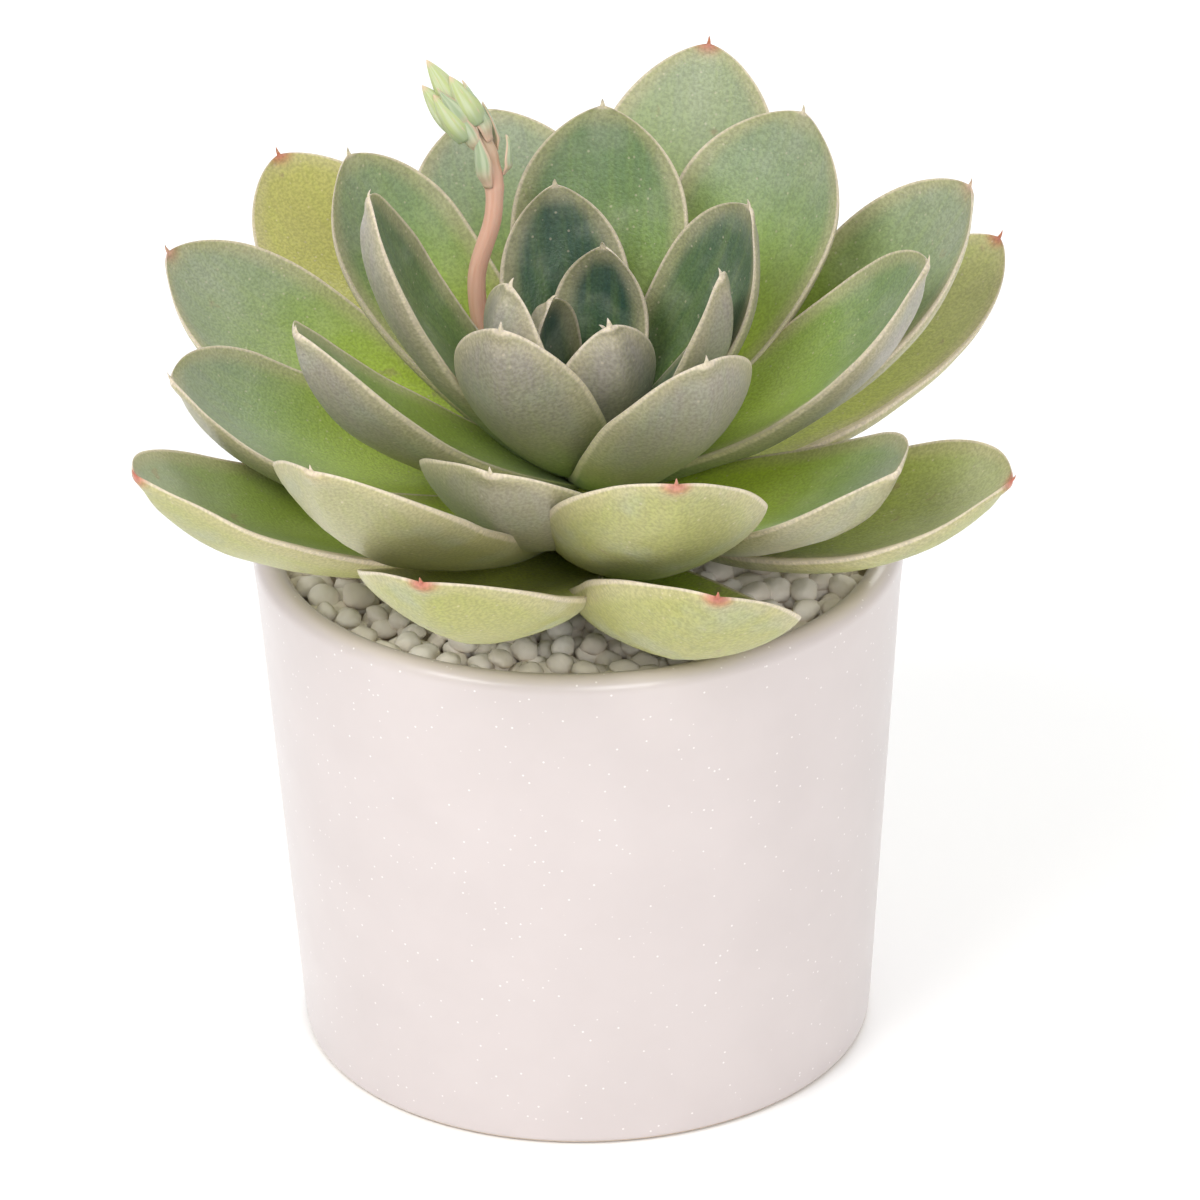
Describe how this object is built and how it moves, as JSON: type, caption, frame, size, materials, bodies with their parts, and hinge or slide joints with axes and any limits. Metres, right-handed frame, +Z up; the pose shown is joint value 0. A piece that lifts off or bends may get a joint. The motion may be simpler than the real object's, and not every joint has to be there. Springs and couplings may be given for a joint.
{
  "type": "potted succulent",
  "caption": "Rosette succulent with thick spoon-shaped leaves and a young flower stalk, growing in a smooth glazed pot topped with pale gravel.",
  "frame": {"origin": "centre of the pot's foot, on the surface that it stands on", "axes": "+Z up the pot's axis, +X to the plant's right and +Y to its back, as seen from the side that the rosette leans towards"},
  "size_m": [0.1397, 0.1596, 0.1615],
  "materials": {
    "glazed_clay": "satin gloss",
    "gravel": "matt",
    "potting_mix": "matt",
    "stem": "matt",
    "leaf_inner": "waxy bloom",
    "leaf_middle": "waxy bloom",
    "leaf_outer": "waxy bloom",
    "stalk": "satin",
    "bract": "waxy bloom",
    "bud": "satin"
  },
  "bodies": {
    "root": {"pot": "glazed_clay", "potting_mix": "potting_mix", "gravel_top_dressing": "gravel", "stem": "stem", "flower_stalk": "stalk", "leaf_01": "leaf_inner", "leaf_02": "leaf_inner", "leaf_03": "leaf_inner", "leaf_04": "leaf_inner", "leaf_05": "leaf_inner", "leaf_06": "leaf_inner", "leaf_07": "leaf_inner", "leaf_08": "leaf_inner", "leaf_09": "leaf_middle", "leaf_10": "leaf_middle", "leaf_11": "leaf_middle", "leaf_12": "leaf_middle", "leaf_13": "leaf_middle", "leaf_14": "leaf_middle", "leaf_15": "leaf_middle", "leaf_16": "leaf_middle", "leaf_17": "leaf_middle", "leaf_18": "leaf_middle", "leaf_19": "leaf_middle", "leaf_20": "leaf_middle", "leaf_21": "leaf_outer", "leaf_22": "leaf_outer", "leaf_23": "leaf_outer", "leaf_24": "leaf_outer", "leaf_25": "leaf_outer", "leaf_26": "leaf_outer", "leaf_27": "leaf_outer", "leaf_28": "leaf_outer", "leaf_29": "leaf_outer", "leaf_30": "leaf_outer", "leaf_31": "leaf_outer", "leaf_32": "leaf_outer", "bract_1": "bract", "bract_2": "bract", "bract_3": "bract", "bract_4": "bract", "bract_5": "bract", "bract_6": "bract", "bud_1": "bud", "bud_2": "bud", "bud_3": "bud", "bud_4": "bud", "bud_5": "bud"}
  },
  "joints": []
}
